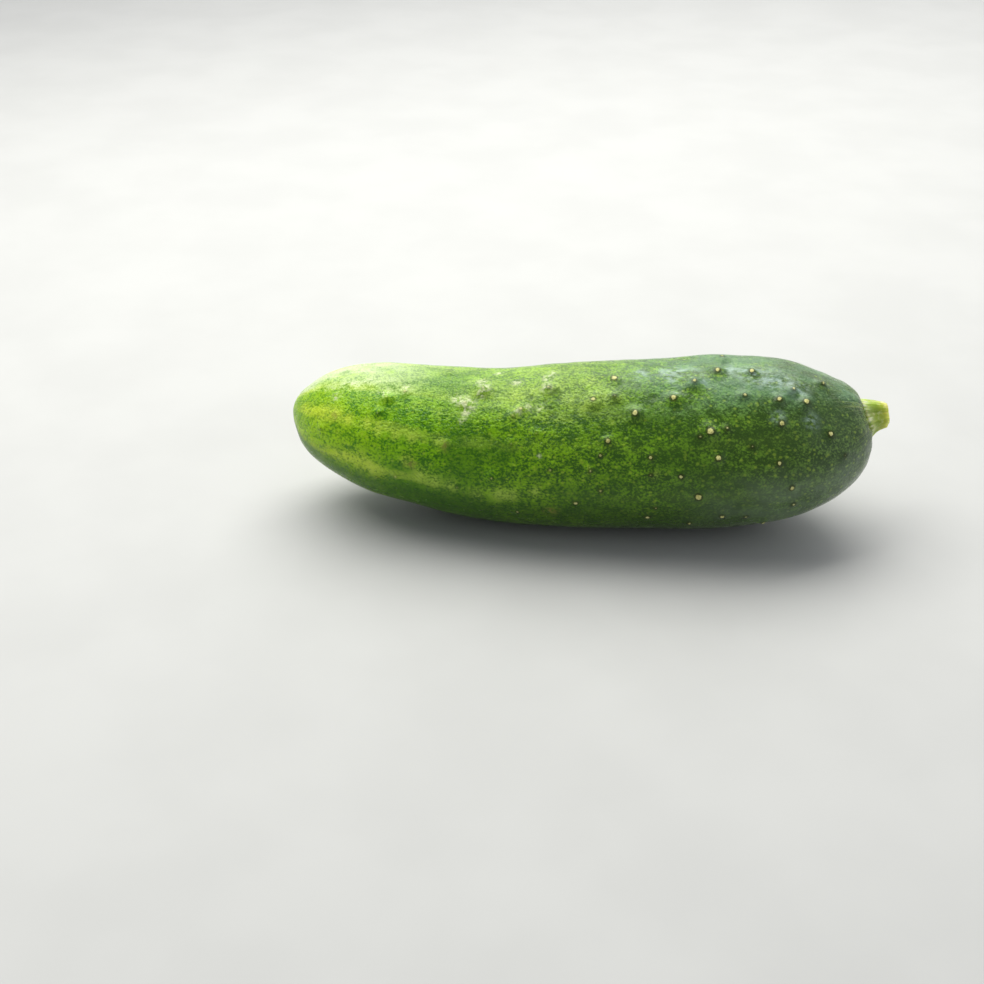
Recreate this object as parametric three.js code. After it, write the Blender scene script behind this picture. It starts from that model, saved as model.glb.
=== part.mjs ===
// A short field cucumber, as picked, lying on its side.
// Two pieces: the fruit, and the stub of the stem that it hung from.
// Millimetres, +Z up. The blossom end points to -X and the stem end to +X; -Y is the front.
// The origin is on the surface that it lies on, under the middle of the whole part.

import * as THREE from "three";

const { degToRad, clamp, lerp } = THREE.MathUtils;
const TURN = 2 * Math.PI;

// The body: a bowed, rounded three-sided form

const LENGTH = 125; // blossom tip to stem end, along the middle line
const RADIUS = 18.3; // at the thickest place, nearer the stem
// The share of RADIUS at every 15 degrees of a half turn from the blossom tip to the stem end.
const GIRTH = [0, 0.285, 0.575, 0.757, 0.845, 0.935, 0.97, 0.995, 1, 0.94, 0.735, 0.425, 0];
const GIRTH_STEP = Math.PI / (GIRTH.length - 1);

const BOW = 5.9; // how far the middle line bellies out from straight
const BOW_LEAN = degToRad(50); // from straight down, towards the front
const BOW_SKEW = 0.43; // above 0 moves the deepest place of the bow towards the blossom end
const END_RISE = 4.7; // how far the stem end turns back out of the bow
const END_SHARE = 0.82; // of the length, where that turn begins

const LOBES = 3; // three seed chambers
const LOBE_RISE = 0.025; // share of the radius
const LOBE_TURN = degToRad(100); // where one lobe stands, from the front and up

const PRESS = 0.4; // how far its own weight has flattened it underneath

// The surface: broad lumps, warts with a spine's scar on top, and the two ends

// Broad lumps and hollows: [mm from the blossom tip, degrees from the front and up, height, width]
const LUMPS = [
  [45, 118, -1, 11],
  [66, 95, 0.4, 9],
  [93, 118, 0.5, 6],
  [112, 110, 0.5, 7],
  [124, 98, 1.1, 4.5],
  [58, 60, -0.35, 8],
  [30, 20, 0.4, 12],
  [100, 40, -0.35, 9],
  [20, 175, 0.4, 10],
  [62, 190, -0.6, 12],
  [88, 230, 0.5, 11],
  [38, 250, 0.45, 12],
];

const SIGHT_LEAN = degToRad(30); // the front warts are given as seen from this far above the horizon
// Warts on the front: [mm from the blossom tip, mm above the middle line, size]
const FRONT_WARTS = [
  [10, -3, 1],
  [22, 3, 1],
  [23, 6.5, 2],
  [23.5, -10, 1],
  [26.5, 8.5, 1],
  [27.5, -9, 1],
  [35, 14, 2],
  [37.5, -1, 1],
  [40, -9.5, 1],
  [40, 8, 2],
  [43.5, 11, 3],
  [47, -7, 2],
  [50.5, 0, 1],
  [50.5, 6, 1],
  [52, -13.5, 1],
  [52, 7.5, 2],
  [55.5, 2.5, 1],
  [57.5, 12, 3],
  [58.5, -5, 1],
  [63.5, -11.5, 1],
  [66.5, -5, 1],
  [67, 9.5, 3],
  [68.5, -9, 1],
  [68.5, -2, 1],
  [70, 1, 2],
  [71.5, 10, 2],
  [71.5, 13.5, 2],
  [75.5, 6.5, 3],
  [78, -14.5, 1],
  [78.5, -6, 1],
  [78.5, -2.5, 1],
  [79.5, -12.5, 1],
  [83.5, 9.5, 3],
  [84.5, -6.5, 2],
  [86.5, -16, 1],
  [88, -10.5, 3],
  [88, 12.5, 3],
  [88.5, 1.5, 1],
  [90.5, 2.5, 3],
  [92, -3, 2],
  [93, -14.5, 2],
  [93, 14.5, 3],
  [94, 3, 1],
  [94.5, 17, 3],
  [98, -15, 1],
  [98, 9.5, 2],
  [99, -1, 1],
  [100, 14, 2],
  [102, -16.5, 2],
  [104, -4.5, 2],
  [105, 3.5, 2],
  [105, 8.5, 2],
  [106, -9.5, 2],
  [106.5, -13, 1],
  [108.5, 10, 2],
  [110.5, 7, 3],
  [114, -0.5, 2],
  [115.5, 9.5, 2],
  [116, -5.5, 1],
];
const WART_HEIGHT = [0, 0.35, 0.55, 0.8]; // by size
const WART_RADIUS = [0, 1.8, 2.2, 2.7];
const SCAR_RISE = 0.15; // the dry stump of the spine on top of each wart
const SCAR_SHARE = 0.28; // of the wart's radius

const BACK_WARTS = 64; // drawn at random on the side that the front list doesn't cover
const BACK_SPREAD = degToRad(156);
const BACK_WART_GAP = 5.6; // least distance between two
const REST_CLEARANCE = 1.8; // height of the band underneath that has no warts
const UNDERSIDE_STEPS = 56; // places along the fruit where its lowest point is sought
const WART_SEED = 2903;

const STEM_DIMPLE = 1.1; // depth of the hollow that the stem stands in
const STEM_DIMPLE_RADIUS = 9;
const BLOSSOM_SCAR = 0.1; // height of the corky button at the tip
const BLOSSOM_SCAR_RADIUS = 2.6;

// The faces: a grid with one finer patch for each wart

const ROWS = 56;
const COLUMNS = 44;
const PATCH_RINGS = [0.7, 0.45, 0.2]; // shares of a patch's half width
const MOST_OFF_CENTRE = 0.3; // of a cell, for the middle of a patch

// The stub of the stem

const STUB_RADIUS = 2.7; // at the cut end
const STUB_FOOT_RADIUS = 4.8;
const STUB_TAPER = 1.4; // 1 is a straight cone, more is hollow
const STUB_LENGTH = 5.4;
const STUB_LEAN_UP = degToRad(6); // where its tip points
const STUB_LEAN_BACK = degToRad(8);
const STUB_RIDGES = 5;
const STUB_RIDGE_RISE = 0.08;
const STUB_SIDES = 20;
const STUB_RINGS = 6;
const STUB_CUT_HOLLOW = 0.5; // the cut end has dried and sunk in the middle
const FOOT_GAP = 0.4; // between the foot and the fruit

const FRONT = new THREE.Vector3(0, -1, 0);
const UP = new THREE.Vector3(0, 0, 1);

// The fruit's share of RADIUS at a half-turn angle: a smooth curve through GIRTH, mirrored past both ends.
function girthAt(angle) {
  const last = GIRTH.length - 1;
  const at = (i) => (i < 0 ? -GIRTH[-i] : i > last ? -GIRTH[2 * last - i] : GIRTH[i]);
  const i = Math.min(Math.floor(angle / GIRTH_STEP), last - 1);
  const u = angle / GIRTH_STEP - i;
  const slopeHere = (at(i + 1) - at(i - 1)) / 2;
  const slopeNext = (at(i + 2) - at(i)) / 2;
  const u2 = u * u;
  const u3 = u2 * u;
  return (
    (2 * u3 - 3 * u2 + 1) * at(i) +
    (u3 - 2 * u2 + u) * slopeHere +
    (3 * u2 - 2 * u3) * at(i + 1) +
    (u3 - u2) * slopeNext
  );
}

const shareAt = (angle) => (1 - Math.cos(angle)) / 2; // of LENGTH

const BELLY = FRONT.clone().multiplyScalar(Math.sin(BOW_LEAN)).addScaledVector(UP, -Math.cos(BOW_LEAN));

function middleLine(share) {
  const end = Math.max(0, (share - END_SHARE) / (1 - END_SHARE));
  const skewed = share * (1 + BOW_SKEW * (1 - share));
  const bow = BOW * Math.sin(Math.PI * skewed) - END_RISE * end * end;
  return new THREE.Vector3(LENGTH * (share - 0.5), 0, 0).addScaledVector(BELLY, bow);
}

// A point of the plain body: angle runs from tip to stem, around runs from the front and up.
function bodyPoint(angle, around) {
  const share = shareAt(angle);
  const along = alongMiddle(share);
  const front = FRONT.clone().addScaledVector(along, -FRONT.dot(along)).normalize();
  const up = new THREE.Vector3().crossVectors(front, along).normalize();
  const lobes = 1 + LOBE_RISE * Math.cos(LOBES * (around - LOBE_TURN));
  const r = RADIUS * girthAt(angle) * lobes;
  return middleLine(share)
    .addScaledVector(front, r * Math.cos(around))
    .addScaledVector(up, r * Math.sin(around));
}

function alongMiddle(share) {
  const step = 1e-3;
  return middleLine(Math.min(share + step, 1)).sub(middleLine(Math.max(share - step, 0))).normalize();
}

function bodyNormal(angle, around) {
  const step = 0.02;
  if (Math.sin(angle) < 1e-6) return alongMiddle(shareAt(angle)).multiplyScalar(-Math.sign(Math.cos(angle)));
  const a = clamp(angle, step, Math.PI - step);
  const lengthwise = bodyPoint(a + step, around).sub(bodyPoint(a - step, around));
  const crosswise = bodyPoint(a, around + step).sub(bodyPoint(a, around - step));
  return lengthwise.cross(crosswise).normalize();
}

// Distances along the body's outline from the tip, so that rows of faces can be evenly spaced.
const OUTLINE_STEPS = 720;
const outline = [0];
for (let i = 1; i <= OUTLINE_STEPS; i++) {
  const a = (Math.PI * (i - 1)) / OUTLINE_STEPS;
  const b = (Math.PI * i) / OUTLINE_STEPS;
  const run = LENGTH * (shareAt(b) - shareAt(a));
  const rise = RADIUS * (girthAt(b) - girthAt(a));
  outline.push(outline[i - 1] + Math.hypot(run, rise));
}
const OUTLINE_LENGTH = outline[OUTLINE_STEPS];

function angleAtOutline(distance) {
  const i = Math.max(1, outline.findIndex((d) => d >= Math.min(distance, OUTLINE_LENGTH)));
  const u = (distance - outline[i - 1]) / (outline[i] - outline[i - 1]);
  return (Math.PI * (i - 1 + clamp(u, 0, 1))) / OUTLINE_STEPS;
}

function outlineAtAngle(angle) {
  const place = (angle / Math.PI) * OUTLINE_STEPS;
  const i = Math.min(Math.floor(place), OUTLINE_STEPS - 1);
  return lerp(outline[i], outline[i + 1], place - i);
}

const angleAtLength = (mm) => Math.acos(clamp(1 - (2 * mm) / LENGTH, -1, 1));

// mulberry32, a small generator of repeatable random numbers from 0 to 1.
function randomFrom(seed) {
  let state = seed >>> 0;
  return () => {
    state = (state + 0x6d2b79f5) >>> 0;
    let t = state;
    t = Math.imul(t ^ (t >>> 15), t | 1);
    t ^= t + Math.imul(t ^ (t >>> 7), t | 61);
    return ((t ^ (t >>> 14)) >>> 0) / 4294967296;
  };
}

function makeWart(angle, around, size) {
  return { angle, around, point: bodyPoint(angle, around), height: WART_HEIGHT[size], radius: WART_RADIUS[size] };
}

function frontWart([along, above, size]) {
  const angle = angleAtLength(along);
  const lean = Math.asin(clamp(above / (RADIUS * girthAt(angle)), -1, 1));
  return makeWart(angle, SIGHT_LEAN + lean, size);
}

// The front list covers half of the way round, so the draws keep to the other half, and thin out near the tip.
function backWarts(front) {
  const random = randomFrom(WART_SEED);
  const below = (i) => bodyPoint((Math.PI * i) / UNDERSIDE_STEPS, -Math.PI / 2).z;
  const lowest = Math.min(...Array.from({ length: UNDERSIDE_STEPS }, (_, i) => below(i)));
  const warts = [];
  while (warts.length < BACK_WARTS) {
    const along = lerp(8, LENGTH - 7, Math.pow(random(), 0.75));
    const around = SIGHT_LEAN + Math.PI + (random() - 0.5) * BACK_SPREAD;
    const size = 1 + Math.floor(random() * 3);
    const wart = makeWart(angleAtLength(along), around, size);
    const apart = [...front, ...warts].every((w) => w.point.distanceTo(wart.point) > BACK_WART_GAP);
    const offTheGround = wart.point.z > lowest + REST_CLEARANCE;
    if (apart && offTheGround) warts.push(wart);
  }
  return warts;
}

const frontWarts = FRONT_WARTS.map(frontWart);
const warts = [...frontWarts, ...backWarts(frontWarts)];

const lumps = LUMPS.map(([along, degrees, height, width]) => ({
  point: bodyPoint(angleAtLength(along), degToRad(degrees)),
  height,
  width,
}));

// A smooth round bump: 1 in the middle, 0 from the edge on.
function bump(distance, radius) {
  const q = Math.min(distance / radius, 1);
  return (1 - q * q) ** 2;
}

const stemPole = bodyPoint(Math.PI, 0);
const blossomPole = bodyPoint(0, 0);

// How far the skin stands out from the plain body at a point of it.
function relief(point) {
  let height = 0;
  for (const lump of lumps) {
    height += lump.height * Math.exp(-((point.distanceTo(lump.point) / lump.width) ** 2));
  }
  for (const wart of warts) {
    const distance = point.distanceTo(wart.point);
    height += wart.height * bump(distance, wart.radius);
    height += SCAR_RISE * bump(distance, wart.radius * SCAR_SHARE);
  }
  height -= STEM_DIMPLE * bump(point.distanceTo(stemPole), STEM_DIMPLE_RADIUS);
  height += BLOSSOM_SCAR * bump(point.distanceTo(blossomPole), BLOSSOM_SCAR_RADIUS);
  return height;
}

function skinPoint(angle, around) {
  const point = bodyPoint(angle, around);
  const height = relief(point);
  return point.addScaledVector(bodyNormal(angle, around), height);
}

// A list of corner points that hands out their numbers, and the triangles between them.
class Faces {
  constructor() {
    this.points = [];
    this.triangles = [];
  }

  add(point) {
    return this.points.push(point) - 1;
  }

  triangle(a, b, c) {
    this.triangles.push(a, b, c);
  }

  // Joins two rings of as many corners each.
  band(outer, inner) {
    outer.forEach((a, i) => {
      const j = (i + 1) % outer.length;
      this.triangle(a, outer[j], inner[j]);
      this.triangle(a, inner[j], inner[i]);
    });
  }

  fan(ring, middle) {
    ring.forEach((a, i) => this.triangle(a, ring[(i + 1) % ring.length], middle));
  }

  geometry() {
    const geometry = new THREE.BufferGeometry();
    const numbers = this.points.flatMap((p) => [p.x, p.y, p.z]);
    geometry.setAttribute("position", new THREE.Float32BufferAttribute(numbers, 3));
    geometry.setIndex(this.triangles);
    geometry.computeVertexNormals();
    return geometry;
  }
}

const ROW_STEP = OUTLINE_LENGTH / ROWS;
const COLUMN_STEP = TURN / COLUMNS;
const wrapColumn = (j) => ((j % COLUMNS) + COLUMNS) % COLUMNS;

// The corners round a wart's patch, in order, as steps from its middle.
const PATCH_EDGE = [[-1, -1], [-1, 0], [-1, 1], [0, 1], [1, 1], [1, 0], [1, -1], [0, -1]];

// Each wart takes the four cells round its nearest corner, unless another wart has one of them.
function wartPatches() {
  const taken = new Set();
  const patches = [];
  for (const wart of warts) {
    const row = outlineAtAngle(wart.angle) / ROW_STEP;
    const column = wart.around / COLUMN_STEP;
    const i = clamp(Math.round(row), 2, ROWS - 2);
    const j = Math.round(column);
    const cells = [[i - 1, j - 1], [i - 1, j], [i, j - 1], [i, j]].map(([a, b]) => `${a},${wrapColumn(b)}`);
    if (cells.some((cell) => taken.has(cell))) continue;
    cells.forEach((cell) => taken.add(cell));
    const off = (exact, whole) => clamp(exact - whole, -MOST_OFF_CENTRE, MOST_OFF_CENTRE);
    patches.push({ i, j, row: i + off(row, i), column: j + off(column, j) });
  }
  return { taken, patches };
}

function fruitGeometry() {
  const faces = new Faces();
  const { taken, patches } = wartPatches();
  const skin = (row, column) => faces.add(skinPoint(angleAtOutline(row * ROW_STEP), column * COLUMN_STEP));

  const middles = new Set(patches.map(({ i, j }) => `${i},${wrapColumn(j)}`));
  const grid = [];
  for (let i = 1; i < ROWS; i++) {
    grid[i] = [];
    for (let j = 0; j < COLUMNS; j++) {
      if (!middles.has(`${i},${j}`)) grid[i][j] = skin(i, j);
    }
  }
  const corner = (i, j) => grid[i][wrapColumn(j)];

  faces.fan(grid[1], skin(0, 0));
  faces.fan([...grid[ROWS - 1]].reverse(), skin(ROWS, 0));
  for (let i = 1; i < ROWS - 1; i++) {
    for (let j = 0; j < COLUMNS; j++) {
      if (taken.has(`${i},${j}`)) continue;
      faces.triangle(corner(i, j), corner(i + 1, j), corner(i + 1, j + 1));
      faces.triangle(corner(i, j), corner(i + 1, j + 1), corner(i, j + 1));
    }
  }

  for (const { i, j, row, column } of patches) {
    let ring = PATCH_EDGE.map(([di, dj]) => corner(i + di, j + dj));
    for (const share of PATCH_RINGS) {
      const inner = PATCH_EDGE.map(([di, dj]) => {
        const reach = share / Math.hypot(di, dj);
        return skin(row + di * reach, column + dj * reach);
      });
      faces.band(inner, ring);
      ring = inner;
    }
    faces.fan([...ring].reverse(), skin(row, column));
  }
  return faces.geometry();
}

// The stub leaves the fruit along its axis and bends to where its tip points.
function stubGeometry() {
  const faces = new Faces();
  const outward = alongMiddle(1);
  const tipwards = new THREE.Vector3(
    Math.cos(STUB_LEAN_UP) * Math.cos(STUB_LEAN_BACK),
    Math.cos(STUB_LEAN_UP) * Math.sin(STUB_LEAN_BACK),
    Math.sin(STUB_LEAN_UP),
  );
  const headingAt = (share) => outward.clone().lerp(tipwards, Math.min(1, share * 1.5)).normalize();
  const turns = Array.from({ length: STUB_SIDES }, (_, i) => (TURN * i) / STUB_SIDES);
  const ridged = (turn) => 1 + STUB_RIDGE_RISE * Math.cos(STUB_RIDGES * turn);

  const onFoot = (share, turn) => {
    const distance = OUTLINE_LENGTH - share * STUB_FOOT_RADIUS * ridged(turn);
    return skinPoint(angleAtOutline(distance), turn).addScaledVector(outward, FOOT_GAP);
  };
  const footRing = (share) => turns.map((turn) => faces.add(onFoot(share, turn)));

  const ring = (centre, heading, width) => {
    const front = FRONT.clone().addScaledVector(heading, -FRONT.dot(heading)).normalize();
    const up = new THREE.Vector3().crossVectors(front, heading);
    return turns.map((turn) => faces.add(centre.clone()
      .addScaledVector(front, width * ridged(turn) * Math.cos(turn))
      .addScaledVector(up, width * ridged(turn) * Math.sin(turn))));
  };

  const middle = onFoot(0, 0);
  const centre = middle.clone();
  const foot = footRing(1);
  const sides = [foot];
  for (let k = 1; k <= STUB_RINGS; k++) {
    const share = k / STUB_RINGS;
    centre.addScaledVector(headingAt((k - 0.5) / STUB_RINGS), STUB_LENGTH / STUB_RINGS);
    const width = lerp(STUB_RADIUS, STUB_FOOT_RADIUS, (1 - share) ** STUB_TAPER);
    sides.push(ring(centre, headingAt(share), width));
    faces.band(sides[k], sides[k - 1]);
  }

  const innerFoot = footRing(0.5);
  faces.band(foot, innerFoot);
  faces.fan(innerFoot, faces.add(middle));

  const sunk = centre.clone().addScaledVector(headingAt(1), -STUB_CUT_HOLLOW);
  const hollow = ring(sunk, headingAt(1), STUB_RADIUS * 0.6);
  faces.band(hollow, sides[STUB_RINGS]);
  faces.fan([...hollow].reverse(), faces.add(sunk));
  return faces.geometry();
}

const fruit = new THREE.Mesh(
  fruitGeometry(),
  new THREE.MeshStandardMaterial({ color: 0x4c6f1c, roughness: 0.42, metalness: 0 }),
);
fruit.name = "fruit";

const stemStub = new THREE.Mesh(
  stubGeometry(),
  new THREE.MeshStandardMaterial({ color: 0x9bb540, roughness: 0.6, metalness: 0 }),
);
stemStub.name = "stem_stub";

// Flattens the fruit where it lies.
const corners = fruit.geometry.getAttribute("position");
fruit.geometry.computeBoundingBox();
const surface = fruit.geometry.boundingBox.min.z + PRESS;
for (let i = 0; i < corners.count; i++) {
  corners.setZ(i, Math.max(corners.getZ(i), surface));
}

const cucumber = new THREE.Group();
cucumber.add(fruit, stemStub);
const extent = new THREE.Box3().setFromObject(cucumber);
const middle = extent.getCenter(new THREE.Vector3());
cucumber.position.set(-middle.x, -middle.y, -surface);

export default cucumber;
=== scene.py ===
"""The looks of a short field cucumber lying on its side: the skin of the fruit and the stub of its stem.

The form's own numbers are in millimetres, and Blender's objects are in metres. +Z is up. The blossom end
points to -X and the stem end to +X; -Y is the front.
"""

import math

import bpy
import numpy as np
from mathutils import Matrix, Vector


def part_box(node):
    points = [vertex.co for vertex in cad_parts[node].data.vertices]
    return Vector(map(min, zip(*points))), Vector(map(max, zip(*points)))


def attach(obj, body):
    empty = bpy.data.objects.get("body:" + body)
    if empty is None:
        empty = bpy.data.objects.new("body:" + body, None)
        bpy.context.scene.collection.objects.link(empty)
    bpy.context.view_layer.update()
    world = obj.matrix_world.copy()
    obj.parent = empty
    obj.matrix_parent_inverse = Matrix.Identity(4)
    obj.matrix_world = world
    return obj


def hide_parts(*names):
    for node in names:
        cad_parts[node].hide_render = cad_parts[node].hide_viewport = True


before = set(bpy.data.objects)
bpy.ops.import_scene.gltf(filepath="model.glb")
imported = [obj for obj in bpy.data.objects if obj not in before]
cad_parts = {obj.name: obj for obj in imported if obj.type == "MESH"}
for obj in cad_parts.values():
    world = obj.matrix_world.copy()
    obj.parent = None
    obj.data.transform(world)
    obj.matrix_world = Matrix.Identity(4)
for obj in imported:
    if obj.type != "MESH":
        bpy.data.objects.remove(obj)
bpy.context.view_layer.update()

MM = 0.001
TURN = 2 * math.pi

# The body: a bowed, rounded three-sided form

LENGTH = 125  # blossom tip to stem end, along the middle line
RADIUS = 18.3  # at the thickest place, nearer the stem
# The share of RADIUS at every 15 degrees of a half turn from the blossom tip to the stem end.
GIRTH = [0, 0.285, 0.575, 0.757, 0.845, 0.935, 0.97, 0.995, 1, 0.94, 0.735, 0.425, 0]
GIRTH_STEP = math.pi / (len(GIRTH) - 1)

BOW = 5.9  # how far the middle line bellies out from straight
BOW_LEAN = math.radians(50)  # from straight down, towards the front
BOW_SKEW = 0.43  # above 0 moves the deepest place of the bow towards the blossom end
END_RISE = 4.7  # how far the stem end turns back out of the bow
END_SHARE = 0.82  # of the length, where that turn begins

LOBES = 3  # three seed chambers
LOBE_RISE = 0.025  # share of the radius
LOBE_TURN = math.radians(100)  # where one lobe stands, from the front and up

PRESS = 0.4  # how far its own weight has flattened it underneath

OUTLINE_STEPS = 720  # steps in which the outline's length is measured

# The surface: broad lumps, warts with a spine's scar on top, and the two ends

# Broad lumps and hollows: (mm from the blossom tip, degrees from the front and up, height, width)
LUMPS = [
    (45, 118, -1, 11),
    (66, 95, 0.4, 9),
    (93, 118, 0.5, 6),
    (112, 110, 0.5, 7),
    (124, 98, 1.1, 4.5),
    (58, 60, -0.35, 8),
    (30, 20, 0.4, 12),
    (100, 40, -0.35, 9),
    (20, 175, 0.4, 10),
    (62, 190, -0.6, 12),
    (88, 230, 0.5, 11),
    (38, 250, 0.45, 12),
]

SIGHT_LEAN = math.radians(30)  # what is listed for the front is as seen from this far above the horizon
# Warts on the front: (mm from the blossom tip, mm above the middle line, size, radius of its scar)
FRONT_WARTS = [
    (10, -3, 1, 0.25),
    (22, 3, 1, 0.3),
    (23, 6.5, 2, 0.3),
    (23.5, -10, 1, 0.3),
    (26.5, 8.5, 1, 0.4),
    (27.5, -9, 1, 0.4),
    (35, 14, 2, 0.3),
    (37.5, -1, 1, 0.25),
    (40, -9.5, 1, 0.3),
    (40, 8, 2, 0.35),
    (43.5, 11, 3, 0.35),
    (47, -7, 2, 0.35),
    (50.5, 0, 1, 0.3),
    (50.5, 6, 1, 0.35),
    (52, -13.5, 1, 0.3),
    (52, 7.5, 2, 0.45),
    (55.5, 2.5, 1, 0.25),
    (57.5, 12, 3, 0.35),
    (58.5, -5, 1, 0.3),
    (63.5, -11.5, 1, 0.5),
    (66.5, -5, 1, 0.4),
    (67, 9.5, 3, 0.5),
    (68.5, -9, 1, 0.35),
    (68.5, -2, 1, 0.35),
    (70, 1, 2, 0.55),
    (71.5, 10, 2, 0.3),
    (71.5, 13.5, 2, 0.6),
    (75.5, 6.5, 3, 0.65),
    (78, -14.5, 1, 0.5),
    (78.5, -6, 1, 0.3),
    (78.5, -2.5, 1, 0.4),
    (79.5, -12.5, 1, 0.3),
    (83.5, 9.5, 3, 0.6),
    (84.5, -6.5, 2, 0.45),
    (86.5, -16, 1, 0.4),
    (88, -10.5, 3, 0.7),
    (88, 12.5, 3, 0.45),
    (88.5, 1.5, 1, 0.3),
    (90.5, 2.5, 3, 0.75),
    (92, -3, 2, 0.6),
    (93, -14.5, 2, 0.5),
    (93, 14.5, 3, 0.5),
    (94, 3, 1, 0.35),
    (94.5, 17, 3, 0.35),
    (98, -15, 1, 0.35),
    (98, 9.5, 2, 0.4),
    (99, -1, 1, 0.25),
    (100, 14, 2, 0.5),
    (102, -16.5, 2, 0.5),
    (104, -4.5, 2, 0.5),
    (105, 3.5, 2, 0.6),
    (105, 8.5, 2, 0.55),
    (106, -9.5, 2, 0.5),
    (106.5, -13, 1, 0.4),
    (108.5, 10, 2, 0.4),
    (110.5, 7, 3, 0.65),
    (114, -0.5, 2, 0.55),
    (115.5, 9.5, 2, 0.4),
    (116, -5.5, 1, 0.25),
]
WART_HEIGHT = [0, 0.35, 0.55, 0.8]  # by size
WART_RADIUS = [0, 1.8, 2.2, 2.7]
SCAR_RISE = 0.15  # the dry stump of the spine on top of each wart
SCAR_SPREAD = 1.5  # how much wider the stump's foot is than its scar
BACK_SCARS = (0.25, 0.6)  # radius of the scars on the back, drawn at random
SCAR_SEED = 17

BACK_WARTS = 64  # drawn at random on the side that the front list doesn't cover
BACK_START = 8  # from the blossom tip
BACK_END = LENGTH - 7
BACK_CROWDING = 0.75  # below 1 crowds them towards the stem end
BACK_SPREAD = math.radians(156)
BACK_WART_GAP = 5.6  # least distance between two
REST_CLEARANCE = 1.8  # height of the band underneath that has no warts
UNDERSIDE_STEPS = 56  # places along the fruit where its lowest point is sought
WART_SEED = 2903

STEM_DIMPLE = 1.1  # depth of the hollow that the stem stands in
STEM_DIMPLE_RADIUS = 9
STEM_FOLDS = 17  # shallow folds that run into the hollow
STEM_FOLD_RISE = 0.13
STEM_FOLD_REACH = 15
STEM_FOLD_START = (2, 5)  # where they rise, from the middle of the hollow
WEAK_STEM_FOLDS = 11  # weaker folds among them
WEAK_STEM_FOLD_SHARE = 0.6
BLOSSOM_SCAR = 0.1  # height of the corky button at the tip
BLOSSOM_SCAR_RADIUS = 2.6

RIPPLES = 26  # faint waves that leave no part of the skin quite even
RIPPLE_RISE = 0.02
RIPPLE_LENGTHS = (5.5, 15)
RIPPLE_SEED = 41
CRINKLES = 40  # much shorter waves, strongest on the warts
CRINKLE_RISE = 0.004
CRINKLE_ON_WART = 0.045
CRINKLE_LENGTHS = (1.9, 4)
CRINKLE_SEED = 42
WAVE_STRETCH = np.array([0.6, 1, 1])  # both kinds are drawn out along the fruit

ROWS = 384
COLUMNS = 252

# The stub of the stem

STUB_RADIUS = 2.7  # at the cut end
STUB_FOOT_RADIUS = 4.8
STUB_TAPER = 1.4  # 1 is a straight cone, more is hollow
STUB_LENGTH = 5.4
STUB_LEAN_UP = math.radians(6)  # where its tip points
STUB_LEAN_BACK = math.radians(8)
STUB_BEND = 1.5  # above 1 turns it that way before its tip
STUB_RIDGES = 5
STUB_RIDGE_RISE = 0.08
STUB_FIBRES = 31  # fine lines along it
STUB_FIBRE_RISE = 0.035
WEAK_STUB_FIBRES = 19  # weaker lines among them
WEAK_STUB_FIBRE_SHARE = 0.7
STUB_SIDES = 124
STUB_RINGS = 48
STUB_CUT_HOLLOW = 0.5  # the cut end has dried and sunk in the middle
STUB_CUT_RINGS = 14
STUB_CUT_TEETH = 9  # the cut is a little ragged
STUB_CUT_TOOTH = 0.06
STUB_CUT_CLOSING = 0.02  # share of the radius that the last ring keeps
FOOT_SINK = 0.15  # how far the foot goes into the skin
FOOT_INNER_RADIUS = 2  # of the ring that closes the foot underneath

# Blurred marks on the front: (mm from the blossom tip, mm above the middle line, radius)
# Scuffs and painted glints: pale marks, many of them on the tops of warts, where they stand in for
# highlights
SCUFFS_AND_GLINTS = [
    (38, 8.5, 1),
    (40, 8, 1.3),
    (41, 7.5, 1.2),
    (40.5, 6, 1),
    (40, 4, 0.6),
    (43, 12.5, 1.2),
    (44, 11, 1.1),
    (43, 10, 0.8),
    (46, 15, 0.9),
    (50.5, 13, 1),
    (57, 14, 1),
    (57, 12, 1.1),
    (58, 15, 0.8),
    (56, 8, 0.8),
    (53.5, 8, 0.7),
    (51.5, 7, 0.7),
    (22, 7.5, 1.1),
    (26.5, 9.3, 0.9),
    (11.5, 4.5, 0.8),
    (56.2, -2.3, 0.4),
]
PALE_AND_PAINTED_LIT_PATCHES = [
    (4.5, 0.5, 1.1),
    (6.5, 0.5, 1.4),
    (9, 0.5, 1.7),
    (11, 1, 1.7),
    (13, 1, 1.5),
    (15.5, 0.5, 1.2),
    (20, 0.5, 1.2),
    (22.5, -0.5, 1.2),
    (26.5, -1, 1),
    (30, -1, 1),
    (35.5, -0.5, 1.2),
    (10.5, -7.5, 1),
    (14, -7.5, 1.4),
    (16.5, -7.5, 1.8),
    (19.5, -7.5, 2),
    (22, -8.5, 1.9),
    (24.5, -9, 1.5),
    (29.5, -5.5, 1.3),
    (32.5, -8, 1.6),
    (35.5, -9, 1.6),
    (39, -9.5, 1.4),
    (44, -11, 1.2),
    (48.5, -10.5, 1.8),
    (51, -10.5, 1.5),
    (55.5, -9.5, 1),
    (79.5, -6, 1),
    # These on the upper middle are painted light, the lit band along the top
    (50.5, 10.5, 1.5),
    (53.5, 11, 1.6),
    (60, 12.5, 1.4),
    (62, 9.5, 1.5),
    (65, 8.5, 1.3),
    (68.5, 10, 1.8),
    (72, 10, 1.4),
    (66.5, 13.5, 1.4),
]
# Painted glare: bluish-white highlights on the wax of the top
PAINTED_GLARES = [
    (87.5, 14.5, 1.8),
    (85, 15, 1.6),
    (83.5, 13.5, 1.3),
    (89.5, 13, 1.6),
    (82, 15, 1.3),
    (77, 14.5, 1.8),
    (84.5, 11, 1.1),
    (99, 14, 2.2),
    (102, 13, 2.4),
    (106, 12, 2.6),
    (95.5, 15, 1.6),
    (110, 10, 2),
    (111, 3, 1.5),
    (104.5, 5, 1.3),
]
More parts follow.
